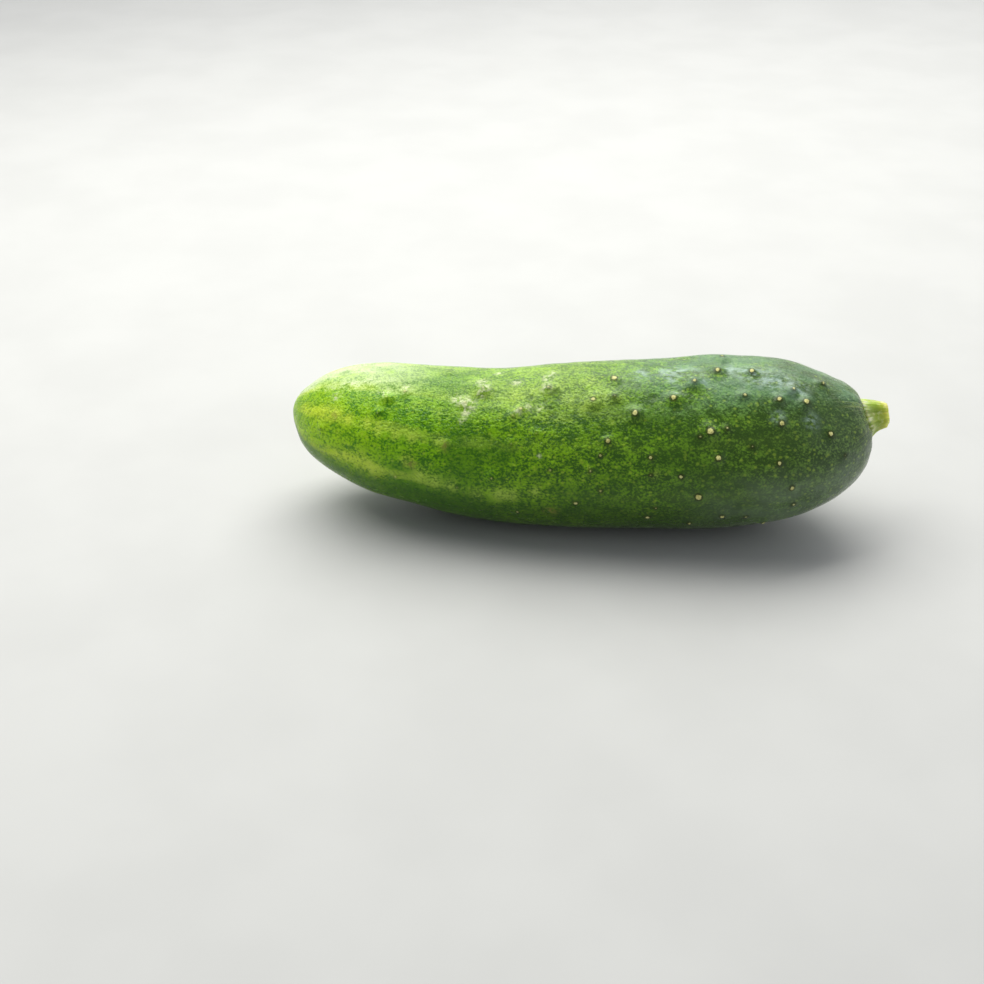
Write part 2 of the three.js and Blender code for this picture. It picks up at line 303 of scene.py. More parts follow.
PITS = [
    (60, 10, 0.55),
    (58, 8, 0.6),
    (54, 10, 0.45),
    (58.5, 6.5, 0.5),
    (79.5, 10, 0.7),
    (111.5, 9.5, 0.4),
    (110, 1.5, 0.4),
    (57, 9.5, 0.4),
]
BLOTCHES = [
    (58.5, -13.5, 1.3),
    (37, -1.5, 1.1),
    (30.5, -6, 1.3),
    (12.5, 0.5, 1),
]
PIT_DEPTH = 0.16

STRIPES = 10  # pale lines over the fruit's vessels, strongest at the blossom end
STRIPE_AT = math.radians(30)

# The photograph's view

LENS = 50
CAMERA_AT = (9.4, -259.1, 167.7)
CAMERA_LOOKS_AT = (-19.6, -6.8, 7.4)

FRONT = np.array([0.0, -1.0, 0.0])
UP = np.array([0.0, 0.0, 1.0])


def unit(vectors):
    return vectors / np.linalg.norm(vectors, axis=-1, keepdims=True)


def lerp(a, b, share):
    return a + (b - a) * share


def smoothstep(low, high, value):
    t = np.clip((value - low) / (high - low), 0, 1)
    return t * t * (3 - 2 * t)


def bump(distance, radius):
    """A smooth round bump: 1 in the middle, 0 from the edge on."""
    q = np.minimum(distance / radius, 1)
    return (1 - q * q) ** 2


def distance_to(points, place):
    return np.linalg.norm(points - place, axis=-1)


def girth_at(angle):
    """The share of RADIUS at a half-turn angle: a smooth curve through GIRTH, mirrored at its ends."""
    known = np.array([-GIRTH[1], *GIRTH, -GIRTH[-2]])
    i = np.clip(np.floor(angle / GIRTH_STEP).astype(int), 0, len(GIRTH) - 2)
    u = angle / GIRTH_STEP - i
    before, here, after, beyond = (known[i + k] for k in range(4))
    slope_here = (after - before) / 2
    slope_next = (beyond - here) / 2
    u2 = u * u
    u3 = u2 * u
    return (
        (2 * u3 - 3 * u2 + 1) * here
        + (u3 - 2 * u2 + u) * slope_here
        + (3 * u2 - 2 * u3) * after
        + (u3 - u2) * slope_next
    )


def share_at(angle):
    return (1 - np.cos(angle)) / 2


BELLY = FRONT * math.sin(BOW_LEAN) - UP * math.cos(BOW_LEAN)


def middle_line(share):
    end = np.clip((share - END_SHARE) / (1 - END_SHARE), 0, None)
    skewed = share * (1 + BOW_SKEW * (1 - share))
    bow = BOW * np.sin(math.pi * skewed) - END_RISE * end * end
    along = np.zeros(np.shape(share) + (3,))
    along[..., 0] = LENGTH * (share - 0.5)
    return along + bow[..., None] * BELLY


def along_middle(share):
    step = 1e-3
    return unit(middle_line(np.minimum(share + step, 1)) - middle_line(np.maximum(share - step, 0)))


def body_point(angle, around):
    """Points of the plain body: angle runs from tip to stem, around runs from the front and up."""
    angle, around = np.broadcast_arrays(np.asarray(angle, float), np.asarray(around, float))
    share = share_at(angle)
    along = along_middle(share)
    front = unit(FRONT - (along @ FRONT)[..., None] * along)
    up = np.cross(front, along)
    lobes = 1 + LOBE_RISE * np.cos(LOBES * (around - LOBE_TURN))
    r = RADIUS * girth_at(angle) * lobes
    across = front * (r * np.cos(around))[..., None] + up * (r * np.sin(around))[..., None]
    return middle_line(share) + across


def body_normal(angle, around):
    step = 0.02
    a = np.clip(angle, step, math.pi - step)
    lengthwise = body_point(a + step, around) - body_point(a - step, around)
    crosswise = body_point(a, around + step) - body_point(a, around - step)
    return unit(np.cross(lengthwise, crosswise))


outline_angles = np.linspace(0, math.pi, OUTLINE_STEPS + 1)
outline_points = np.stack(
    [LENGTH * share_at(outline_angles), RADIUS * girth_at(outline_angles)],
    axis=-1,
)
outline_steps = np.linalg.norm(np.diff(outline_points, axis=0), axis=-1)
outline = np.concatenate([[0], np.cumsum(outline_steps)])
OUTLINE_LENGTH = outline[-1]


def angle_at_outline(distance):
    return np.interp(distance, outline, outline_angles)


def angle_at_length(mm):
    return np.arccos(np.clip(1 - 2 * np.asarray(mm) / LENGTH, -1, 1))


def random_from(seed):
    """mulberry32, a small generator of repeatable random numbers from 0 to 1."""
    whole = 0xFFFFFFFF
    state = seed

    def draw():
        nonlocal state
        state = (state + 0x6D2B79F5) & whole
        t = state
        t = ((t ^ (t >> 15)) * (t | 1)) & whole
        t ^= (t + (t ^ (t >> 7)) * (t | 61)) & whole
        return ((t ^ (t >> 14)) & whole) / (whole + 1)

    return draw


def seen_place(along, above):
    """The angle and around of a point on the front that is given as it is seen."""
    angle = angle_at_length(along)
    lean = np.arcsin(np.clip(above / (RADIUS * girth_at(angle)), -1, 1))
    return angle, SIGHT_LEAN + lean


def make_wart(angle, around, size, scar=0.0):
    return {
        "angle": float(angle),
        "around": float(around),
        "point": body_point(angle, around),
        "height": WART_HEIGHT[size],
        "radius": WART_RADIUS[size],
        "scar": scar,
    }


def back_warts(front):
    """The front list covers half of the way round, so the draws keep to the other half."""
    draw = random_from(WART_SEED)
    underside = body_point(math.pi * np.arange(UNDERSIDE_STEPS) / UNDERSIDE_STEPS, -math.pi / 2)
    lowest = underside[:, 2].min()
    warts = []
    while len(warts) < BACK_WARTS:
        along = lerp(BACK_START, BACK_END, math.pow(draw(), BACK_CROWDING))
        around = SIGHT_LEAN + math.pi + (draw() - 0.5) * BACK_SPREAD
        size = 1 + math.floor(draw() * 3)
        wart = make_wart(angle_at_length(along), around, size)
        apart = all(distance_to(w["point"], wart["point"]) > BACK_WART_GAP for w in front + warts)
        off_the_ground = wart["point"][2] > lowest + REST_CLEARANCE
        if apart and off_the_ground:
            warts.append(wart)
    return warts


front_warts = [
    make_wart(*seen_place(along, above), size, scar)
    for along, above, size, scar in FRONT_WARTS
]
warts = front_warts + back_warts(front_warts)
scar_rng = np.random.default_rng(SCAR_SEED)
for wart in warts:
    wart["scar"] = wart["scar"] or scar_rng.uniform(*BACK_SCARS)
    wart["tint"] = scar_rng.uniform()
blossom_pole = body_point(0, 0)
stem_pole = body_point(math.pi, 0)


def waves(points, count, lengths, seed):
    """Low waves in all directions, the same on every run."""
    rng = np.random.default_rng(seed)
    total = np.zeros(points.shape[:-1])
    for _ in range(count):
        heading = unit(rng.normal(size=3)) * WAVE_STRETCH
        length = rng.uniform(*lengths)
        total += np.sin(points @ heading * (TURN / length) + rng.uniform(0, TURN))
    return total


def spots(points, marks):
    """From 0 to 1: how much of a list of round, blurred marks there is at each point of the skin."""
    total = np.zeros(points.shape[:-1])
    for along, above, radius in marks:
        place = body_point(*seen_place(along, above))
        total += np.exp(-((distance_to(points, place) / radius) ** 2))
    return np.minimum(total, 1)


def relief(points, around):
    """How far the skin stands out from the plain body."""
    height = np.zeros(points.shape[:-1])
    for along, degrees, rise, width in LUMPS:
        place = body_point(angle_at_length(along), math.radians(degrees))
        height += rise * np.exp(-((distance_to(points, place) / width) ** 2))
    mounds = np.zeros(points.shape[:-1])
    for wart in warts:
        distance = distance_to(points, wart["point"])
        mounds += wart["height"] * bump(distance, wart["radius"])
        height += SCAR_RISE * bump(distance, wart["scar"] * SCAR_SPREAD)
    height += mounds
    from_stem = distance_to(points, stem_pole)
    height -= STEM_DIMPLE * bump(from_stem, STEM_DIMPLE_RADIUS)
    folds = np.cos(STEM_FOLDS * around) + WEAK_STEM_FOLD_SHARE * np.cos(WEAK_STEM_FOLDS * around + 1)
    folds *= bump(from_stem, STEM_FOLD_REACH) * smoothstep(*STEM_FOLD_START, from_stem)
    height += STEM_FOLD_RISE * folds
    height += BLOSSOM_SCAR * bump(distance_to(points, blossom_pole), BLOSSOM_SCAR_RADIUS)
    height -= PIT_DEPTH * spots(points, PITS)
    height += RIPPLE_RISE * waves(points, RIPPLES, RIPPLE_LENGTHS, RIPPLE_SEED)
    crinkle_rise = CRINKLE_RISE + CRINKLE_ON_WART * np.minimum(mounds, 1)
    return height + crinkle_rise * waves(points, CRINKLES, CRINKLE_LENGTHS, CRINKLE_SEED)


def skin_point(angle, around):
    angle, around = np.broadcast_arrays(np.asarray(angle, float), np.asarray(around, float))
    points = body_point(angle, around)
    return points + body_normal(angle, around) * relief(points, around)[..., None]


def grid_quads(rows, columns):
    """The quads of a tube whose rings follow each other."""
    i = np.arange(rows - 1)[:, None]
    j = np.arange(columns)[None, :]
    k = (j + 1) % columns
    ring = i * columns
    next_ring = ring + columns
    quads = np.stack([ring + j, next_ring + j, next_ring + k, ring + k], axis=-1)
    return quads.reshape(-1, 4).tolist()


def fan(ring, middle):
    return [[a, ring[(i + 1) % len(ring)], middle] for i, a in enumerate(ring)]


def new_piece(name, points, faces):
    mesh = bpy.data.meshes.new(name)
    mesh.from_pydata((points * MM).tolist(), [], faces)
    mesh.polygons.foreach_set("use_smooth", np.ones(len(mesh.polygons), dtype=bool))
    mesh.update()
    piece = bpy.data.objects.new(name, mesh)
    bpy.context.collection.objects.link(piece)
    return piece


def give(piece, name, values, domain="POINT"):
    """Stores a number or a vector for each vertex or face, for the material to read."""
    values = np.asarray(values, dtype=np.float32)
    kind = "FLOAT" if values.ndim == 1 else "FLOAT_VECTOR"
    layer = piece.data.attributes.new(name, kind, domain)
    layer.data.foreach_set("value" if values.ndim == 1 else "vector", values.ravel())


# The fruit

row_angles = angle_at_outline(OUTLINE_LENGTH * np.arange(1, ROWS) / ROWS)[:, None]
column_turns = (TURN * np.arange(COLUMNS) / COLUMNS)[None, :]
angles, arounds = (grid.ravel() for grid in np.broadcast_arrays(row_angles, column_turns))
angles = np.concatenate([angles, [0, math.pi]])
arounds = np.concatenate([arounds, [0, 0]])
skin = skin_point(angles, arounds)

box_low, box_high = (np.array(corner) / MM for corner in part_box("fruit"))
lift = -(skin[:, 2].min() + PRESS)
skin_low, skin_high = skin.min(axis=0), skin.max(axis=0)
to_frame = np.array([
    box_low[0] - skin_low[0],
    (box_low[1] + box_high[1] - skin_low[1] - skin_high[1]) / 2,
    lift,
])
skin += to_frame
skin[:, 2] = np.maximum(skin[:, 2], 0)

blossom_vertex = len(skin) - 2
stem_vertex = len(skin) - 1
first_ring = list(range(COLUMNS))
last_ring = list(range((ROWS - 2) * COLUMNS, (ROWS - 1) * COLUMNS))
faces = grid_quads(ROWS - 1, COLUMNS)
faces += fan(first_ring, blossom_vertex)
faces += fan(last_ring[::-1], stem_vertex)
fruit = new_piece("fruit_skin", skin, faces)

give(fruit, "streak", np.stack([np.cos(arounds), np.sin(arounds), share_at(angles)], axis=-1))

# Each face knows its nearest wart. A vertex's value would blur where two warts meet.
wart_tops = np.stack([skin_point(w["angle"], w["around"]) for w in warts]) + to_frame
scars = np.array([w["scar"] for w in warts])
tints = np.array([w["tint"] for w in warts])
middles = np.empty(3 * len(fruit.data.polygons))
fruit.data.polygons.foreach_get("center", middles)
middles = middles.reshape(-1, 3) / MM
nearest = ((wart_tops**2).sum(axis=1)[None, :] - 2 * middles @ wart_tops.T).argmin(axis=1)
give(fruit, "wart", wart_tops[nearest] * MM, "FACE")
give(fruit, "scar", scars[nearest], "FACE")
give(fruit, "tint", tints[nearest], "FACE")

plain = body_point(angles, arounds)
give(fruit, "scuff_and_glint", spots(plain, SCUFFS_AND_GLINTS))
give(fruit, "painted_glare", spots(plain, PAINTED_GLARES))
give(fruit, "pit", spots(plain, PITS))
give(fruit, "blotch", spots(plain, BLOTCHES))
give(fruit, "pale_and_lit_patch", spots(plain, PALE_AND_PAINTED_LIT_PATCHES))
give(fruit, "from_stem", distance_to(plain, stem_pole))
give(fruit, "from_blossom", distance_to(plain, blossom_pole))

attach(fruit, "root")
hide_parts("fruit")

# The stub of the stem

stub_turns = TURN * np.arange(STUB_SIDES) / STUB_SIDES
outward = along_middle(np.array(1.0))
tipwards = np.array([
    math.cos(STUB_LEAN_UP) * math.cos(STUB_LEAN_BACK),
    math.cos(STUB_LEAN_UP) * math.sin(STUB_LEAN_BACK),
    math.sin(STUB_LEAN_UP),
])
ridged = 1 + STUB_RIDGE_RISE * np.cos(STUB_RIDGES * stub_turns)
weak_fibres = WEAK_STUB_FIBRE_SHARE * np.cos(WEAK_STUB_FIBRES * stub_turns + 2)
fibres = STUB_FIBRE_RISE * (np.cos(STUB_FIBRES * stub_turns) + weak_fibres)


def heading_at(share):
    return unit(lerp(outward, tipwards, min(1, share * STUB_BEND)))


def stub_ring(centre, heading, width, sink=0.0, rough=1.0):
    front = unit(FRONT - FRONT @ heading * heading)
    up = np.cross(front, heading)
    r = (width * ridged + fibres * rough)[:, None]
    sunk = np.broadcast_to(sink, stub_turns.shape)[:, None]
    across = front * r * np.cos(stub_turns)[:, None] + up * r * np.sin(stub_turns)[:, None]
    return centre + across - heading * sunk


foot_distance = OUTLINE_LENGTH - STUB_FOOT_RADIUS * ridged
foot = skin_point(angle_at_outline(foot_distance), stub_turns) - outward * FOOT_SINK
stub_rings = [foot]
stub_shares = [0.0]
centre = skin_point(math.pi, 0.0).copy()
step = STUB_LENGTH / STUB_RINGS
for k in range(1, STUB_RINGS + 1):
    share = k / STUB_RINGS
    centre = centre + heading_at(share - 0.5 / STUB_RINGS) * step
    width = lerp(STUB_RADIUS, STUB_FOOT_RADIUS, (1 - share) ** STUB_TAPER)
    stub_rings.append(stub_ring(centre, heading_at(share), width))
    stub_shares.append(share)
for k in range(1, STUB_CUT_RINGS + 1):
    share = 1 - k / STUB_CUT_RINGS
    ragged = STUB_CUT_TOOTH * np.cos(STUB_CUT_TEETH * stub_turns + 1) * share
    sink = STUB_CUT_HOLLOW * (1 - share**3) + ragged
    width = STUB_RADIUS * max(share, STUB_CUT_CLOSING)
    stub_rings.append(stub_ring(centre, heading_at(1.0), width, sink, share))
    stub_shares.append(1 + k / STUB_CUT_RINGS)
inner_angle = angle_at_outline(OUTLINE_LENGTH - FOOT_INNER_RADIUS)
inner_foot = skin_point(inner_angle, stub_turns) - outward * FOOT_SINK
stub_rings.insert(0, inner_foot)
stub_shares.insert(0, 0.0)

stub_points = np.concatenate(stub_rings) + to_frame
ring_count = len(stub_rings)
foot_ring = list(range(STUB_SIDES))
tip_ring = list(range((ring_count - 1) * STUB_SIDES, ring_count * STUB_SIDES))
tip_middle = len(stub_points)
foot_middle = tip_middle + 1
ends = np.stack([stub_points[tip_ring].mean(axis=0), stub_points[foot_ring].mean(axis=0)])
stub_faces = grid_quads(ring_count, STUB_SIDES)
stub_faces += fan(foot_ring, foot_middle)
stub_faces += fan(tip_ring[::-1], tip_middle)
stub = new_piece("stem_stub_flesh", np.concatenate([stub_points, ends]), stub_faces)

turn_of_each = np.tile(stub_turns, ring_count)
share_of_each = np.repeat(stub_shares, STUB_SIDES)
stub_streak = np.stack([np.cos(turn_of_each), np.sin(turn_of_each), share_of_each], axis=-1)
give(stub, "streak", np.concatenate([stub_streak, [[0, 0, 2], [0, 0, 0]]]))

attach(stub, "root")
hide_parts("stem_stub")

# Materials

# Screen colours, 0 to 255. A number before a colour is the share of the way from the tip to the stem.
FLECK_GREENS = [
    (0, (180, 224, 24)),
    (0.12, (160, 210, 14)),
    (0.22, (132, 190, 10)),
    (0.32, (130, 186, 6)),
    (0.47, (130, 180, 20)),
    (0.65, (118, 168, 34)),
    (0.82, (110, 150, 50)),
    (1, (116, 144, 84)),
]
GROUND_GREENS = [
    (0, (98, 154, 4)),
    (0.12, (76, 138, 2)),
    (0.22, (58, 118, 2)),
    (0.32, (54, 106, 8)),
    (0.47, (55, 99, 18)),
    (0.65, (56, 92, 24)),
    (0.82, (57, 85, 30)),
    (1, (60, 84, 50)),
]
STRIPE_GREENS = [
    (0, (214, 238, 50)),
    (0.3, (182, 214, 84)),
    (1, (112, 142, 62)),
]
SPECK = (190, 214, 70)
# Painted shade under the fruit
PAINTED_UNDERSIDE_SHADE = (18, 30, 8)
# Partly painted shade round each wart
WART_RING_AND_PAINTED_SHADE = (34, 52, 10)
# Bloom along the top, with painted sheen and highlight in it
YELLOWISH_BLOOM_AND_PAINTED_SHEEN = (184, 218, 92)
WHITE_BLOOM_AND_PAINTED_HIGHLIGHT = (236, 242, 214)
BLUISH_BLOOM_AND_PAINTED_SHEEN = (112, 154, 118)
# Painted reflection low on the stem half
PAINTED_FLANK_REFLECTION = (134, 152, 132)
# Pale scuffs, partly painted glints on the wart tops
SCUFF_AND_PAINTED_GLINT = (226, 234, 184)
# Painted glare on the wax
PAINTED_GLARE_COLOUR = (178, 204, 196)
PIT = (40, 70, 12)
BLOTCH = (150, 142, 66)
SCAR_RIM = (52, 60, 14)
PALE_SCAR = (244, 240, 168)
DARK_SCAR = (188, 184, 98)
SHOULDER_STREAK = (158, 172, 98)
PALE_CORK = (226, 222, 186)
DARK_CORK = (176, 160, 110)
COLLAR = (168, 182, 84)
SHEEN = (236, 244, 216)

# The stub's colours run from 0 at its foot, by 0.5 at the rim of the cut, to 1 in the middle of the cut.
STEM_GREENS = [
    (0, (150, 172, 92)),
    (0.1, (162, 180, 92)),
    (0.25, (140, 162, 50)),
    (0.4, (168, 172, 64)),
    (0.5, (204, 196, 122)),
    (0.75, (204, 208, 132)),
    (1, (160, 166, 88)),
]
STEM_LINE = (134, 160, 46)
STEM_BLOTCH = (224, 224, 176)
STEM_STRAND = (226, 230, 190)
STEM_TISSUE = (150, 138, 76)

FLOOR_GREYS = ((188, 188, 189), (192, 192, 193))

# Distances in millimetres at which a mark has faded out, and at which it is full
RING_EDGES = (2.4, 1.1)
RIM_EDGES = (0.5, 0.1)  # outside the scar's radius
SCAR_EDGES = (-0.05, -0.2)
SHOULDER_EDGES = (17, 8)  # from the middle of the stem's hollow
COLLAR_EDGES = (8.2, 6.2)
BUTTON_EDGES = (3.4, 1.8)  # from the blossom tip


def tone(screen_colour):
    """A screen colour, 0 to 255, as Blender's linear colour."""
    def linear(value):
        v = value / 255
        return v / 12.92 if v <= 0.04045 else ((v + 0.055) / 1.055) ** 2.4
    return (*(linear(value) for value in screen_colour), 1)


class Shader:
    """Builds a material's nodes."""

    def __init__(self, name):
        self.material = bpy.data.materials.new(name)
        self.material.use_nodes = True
        self.tree = self.material.node_tree
        self.surface = self.tree.nodes["Principled BSDF"]

    def feed(self, socket, value):
        if isinstance(value, bpy.types.NodeSocket):
            self.tree.links.new(value, socket)
        else:
            socket.default_value = value

    def node(self, kind, inputs, **settings):
        made = self.tree.nodes.new(kind)
        for name, value in settings.items():
            setattr(made, name, value)
        for key, value in inputs.items():
            self.feed(made.inputs[key], value)
        return made

    def set(self, **inputs):
        for name, value in inputs.items():
            self.feed(self.surface.inputs[name.replace("_", " ")], value)

    def math(self, operation, a, b=0.0):
        return self.node("ShaderNodeMath", {0: a, 1: b}, operation=operation).outputs[0]

    def add(self, a, b):
        return self.math("ADD", a, b)

    def times(self, a, b):
        return self.math("MULTIPLY", a, b)

    def smooth(self, value, low, high, start=0.0, end=1.0):
        """Goes softly from start to end while the value goes from low to high, and no further."""
        inputs = {"Value": value, "From Min": low, "From Max": high, "To Min": start, "To Max": end}
        return self.node("ShaderNodeMapRange", inputs, interpolation_type="SMOOTHSTEP").outputs[0]

    def scaled(self, vector, scale):
        inputs = {"Vector": vector, "Scale": scale}
        return self.node("ShaderNodeMapping", inputs, vector_type="POINT").outputs[0]

    def noise(self, vector, scale, detail=2.0, roughness=0.5):
        """Cloudy noise about 0.5; the scale is its clouds to a unit of the vector."""
        inputs = {"Vector": vector, "Scale": scale, "Detail": detail, "Roughness": roughness}
        return self.node("ShaderNodeTexNoise", inputs).outputs["Fac"]

    def cells(self, vector, scale):
        inputs = {"Vector": vector, "Scale": scale, "Randomness": 1.0}
        return self.node("ShaderNodeTexVoronoi", inputs).outputs["Distance"]

    def specks(self, vector, scale, size, share):
        """Small dots, one in each of a share of the cells."""
        inputs = {"Vector": vector, "Scale": scale, "Randomness": 1.0}
        outputs = self.node("ShaderNodeTexVoronoi", inputs).outputs
        dot = self.smooth(outputs["Distance"], size, size * 0.5)
        drawn = self.split(outputs["Color"])[0]
        return self.times(dot, self.math("LESS_THAN", drawn, share))

    def mix(self, share, a, b):
        made = self.node("ShaderNodeMix", {}, data_type="RGBA", blend_type="MIX")
        self.feed(made.inputs[0], share)
        self.feed(made.inputs[6], a)
        self.feed(made.inputs[7], b)
        return made.outputs[2]

    def ramp(self, value, stops):
        made = self.node("ShaderNodeValToRGB", {"Fac": value})
        elements = made.color_ramp.elements
        for element, (position, colour) in zip(elements, (stops[0], stops[-1])):
            element.position = position
            element.color = tone(colour)
        for position, colour in stops[1:-1]:
            elements.new(position).color = tone(colour)
        return made.outputs[0]

    def stored(self, name):
        """A number kept with the mesh."""
        return self.node("ShaderNodeAttribute", {}, attribute_name=name).outputs["Fac"]

    def stored_vector(self, name):
        return self.node("ShaderNodeAttribute", {}, attribute_name=name).outputs["Vector"]

    def split(self, vector):
        return self.node("ShaderNodeSeparateXYZ", {"Vector": vector}).outputs

    def position(self):
        return self.node("ShaderNodeTexCoord", {}).outputs["Object"]

    def place(self):
        """Where on the object a point is, in millimetres."""
        return self.scaled(self.position(), (1 / MM, 1 / MM, 1 / MM))

    def bump(self, height):
        """Turns a height in millimetres into a slope of the surface."""
        inputs = {"Height": height, "Distance": MM, "Strength": 1.0}
        self.set(Normal=self.node("ShaderNodeBump", inputs).outputs[0])


def skin_material():
    s = Shader("skin")
    place = s.place()
    streak = s.stored_vector("streak")
    front_part, up_part, share = s.split(streak)
    around = s.math("ARCTAN2", up_part, front_part)

    # Light flecks on a darker green, going from yellow-green to blue-green; towards the stem some of the
    # blue is a painted reflection, the veil of the skin's gloss
    light = s.ramp(share, FLECK_GREENS)
    dark = s.ramp(share, GROUND_GREENS)
    stretched = s.scaled(place, (0.8, 1, 1))
    fine = s.noise(stretched, 2.3, 3.0, 0.65)
    middling = s.noise(stretched, 0.5, 3.0, 0.6)
    broad = s.noise(s.scaled(place, (0.5, 1, 1)), 0.11, 3.0)
    mottle = s.add(s.times(fine, 0.62), s.times(middling, 0.38))
    mottle = s.math("SUBTRACT", mottle, s.times(share, 0.09))
    fleck = s.smooth(mottle, 0.38, 0.56)
    colour = s.mix(fleck, dark, light)
    speck = s.specks(stretched, 0.9, 0.34, 0.62)
    colour = s.mix(s.times(speck, 0.6), colour, s.mix(0.45, light, tone(SPECK)))
    colour = s.mix(s.smooth(broad, 0.42, 0.62, 0.0, 0.5), colour, dark)

    # Pale lines over the vessels, fanning out of the blossom end, and pale patches, those high on the
    # middle being painted light
    sway = s.math("SUBTRACT", s.noise(s.scaled(streak, (2.5, 2.5, 9)), 1.0, 3.0), 0.5)
    turns = s.times(s.math("SUBTRACT", around, STRIPE_AT), float(STRIPES))
    wave = s.math("COSINE", s.add(turns, s.times(sway, 2.6)))
    stripe = s.smooth(wave, s.smooth(share, 0.02, 0.25, -0.1, 0.55), 1.0)
    patchy = s.smooth(s.noise(s.scaled(streak, (5, 5, 22)), 1.0, 3.0), 0.4, 0.6, 0.2, 1.0)
    fading = s.smooth(share, 0.06, 0.48, 0.95, 0.12)
    broken = s.times(patchy, s.add(s.times(fleck, 0.5), 0.5))
    stripe = s.times(s.times(stripe, fading), broken)
    pale = s.ramp(share, STRIPE_GREENS)
    colour = s.mix(s.times(stripe, 0.8), colour, pale)
    pale_and_lit_patch = s.times(s.stored("pale_and_lit_patch"), s.add(s.times(fleck, 0.75), s.times(middling, 0.25)))
    colour = s.mix(pale_and_lit_patch, colour, pale)

    # Fine pale fibres at both ends
    fibre = s.smooth(s.noise(s.scaled(streak, (38, 38, 6)), 1.0, 2.0), 0.56, 0.75)
    near_ends = s.add(s.smooth(share, 0.12, 0.01), s.smooth(share, 0.88, 0.98))
    colour = s.mix(s.times(s.times(fibre, near_ends), 0.6), colour, pale)

    # Painted shade: a darker green underneath, where the fruit's shadow falls
    underside = s.times(s.smooth(up_part, -0.05, -0.38), s.smooth(share, 0.9, 0.7))
    colour = s.mix(s.times(underside, 0.7), colour, s.mix(0.5, dark, tone(PAINTED_UNDERSIDE_SHADE)))

    # A slightly darker ring round each wart: partly the skin's own darker green, partly painted shade
    # round the mound
    gap = {0: s.position(), 1: s.stored_vector("wart")}
    distance = s.node("ShaderNodeVectorMath", gap, operation="DISTANCE").outputs["Value"]
    distance = s.times(distance, 1 / MM)
    ring = s.smooth(s.add(distance, s.times(fine, 1.2)), *RING_EDGES)
    ring = s.times(ring, s.smooth(share, 0.4, 0.75, 0.06, 0.6))
    colour = s.mix(ring, colour, s.mix(0.5, dark, tone(WART_RING_AND_PAINTED_SHADE)))

    # Wax bloom along the top, with painted sheen and highlight in it where the top is lit: yellowish and
    # white by the blossom end, bluish by the stem
    streaky = s.smooth(s.noise(s.scaled(place, (0.4, 1, 1)), 0.22, 4.0, 0.6), 0.36, 0.62)
    wavering = s.math("SUBTRACT", s.add(s.times(middling, 0.5), s.times(fine, 0.5)), 0.5)
    height_up = s.add(up_part, s.times(wavering, 0.5))
    above_edge = s.math("SUBTRACT", height_up, s.smooth(share, 0.08, 0.3, 0.9, 0.72))
    painted_light_band = s.smooth(above_edge, -0.04, 0.07)
    yellowish_bloom_and_sheen = s.times(s.times(painted_light_band, s.smooth(share, 0.66, 0.5)), s.add(s.times(streaky, 0.22), 0.1))
    yellowish_bloom_and_sheen = s.times(yellowish_bloom_and_sheen, s.add(fleck, 0.5))
    colour = s.mix(yellowish_bloom_and_sheen, colour, tone(YELLOWISH_BLOOM_AND_PAINTED_SHEEN))
    # White bloom and painted highlight on top by the blossom end
    white_bloom_and_highlight = s.times(s.smooth(height_up, 0.86, 0.99), s.smooth(share, 0.3, 0.1))
    white_bloom_and_highlight = s.times(white_bloom_and_highlight, s.add(s.times(streaky, 0.35), 0.25))
    colour = s.mix(white_bloom_and_highlight, colour, tone(WHITE_BLOOM_AND_PAINTED_HIGHLIGHT))
    # Bluish bloom with painted sheen on top by the stem
    topside = s.smooth(height_up, 0.72, 0.94)
    bluish_bloom_and_sheen = s.times(s.times(topside, s.smooth(share, 0.52, 0.7)), s.add(s.times(streaky, 0.48), 0.02))
    colour = s.mix(bluish_bloom_and_sheen, colour, tone(BLUISH_BLOOM_AND_PAINTED_SHEEN))

    # Painted reflection: a thin grey sheen low on the stem half
    flank = s.times(s.smooth(share, 0.62, 0.86), s.smooth(up_part, 0.3, -0.2))
    painted_flank_reflection = s.times(flank, s.add(s.times(streaky, 0.22), 0.14))
    colour = s.mix(painted_flank_reflection, colour, tone(PAINTED_FLANK_REFLECTION))

    # Scuffs with painted glints, painted glare on the wax, pits and brown blotches
    ragged = s.smooth(s.noise(place, 1.3, 3.0), 0.4, 0.6)
    # Pale scuffs, partly painted glints on the tops of the warts
    scuff_and_glint = s.times(s.stored("scuff_and_glint"), ragged)
    colour = s.mix(s.times(scuff_and_glint, 0.85), colour, tone(SCUFF_AND_PAINTED_GLINT))
    # Painted glare, a highlight laid on the wax
    painted_glare_mask = s.smooth(s.noise(s.scaled(place, (0.6, 1, 1)), 0.8, 4.0, 0.6), 0.4, 0.62)
    painted_glare_mask = s.times(s.stored("painted_glare"), painted_glare_mask)
    colour = s.mix(s.times(painted_glare_mask, 0.6), colour, tone(PAINTED_GLARE_COLOUR))
    colour = s.mix(s.times(s.stored("pit"), 0.7), colour, tone(PIT))
    blotch = s.times(s.stored("blotch"), ragged)
    colour = s.mix(s.times(blotch, 0.6), colour, tone(BLOTCH))

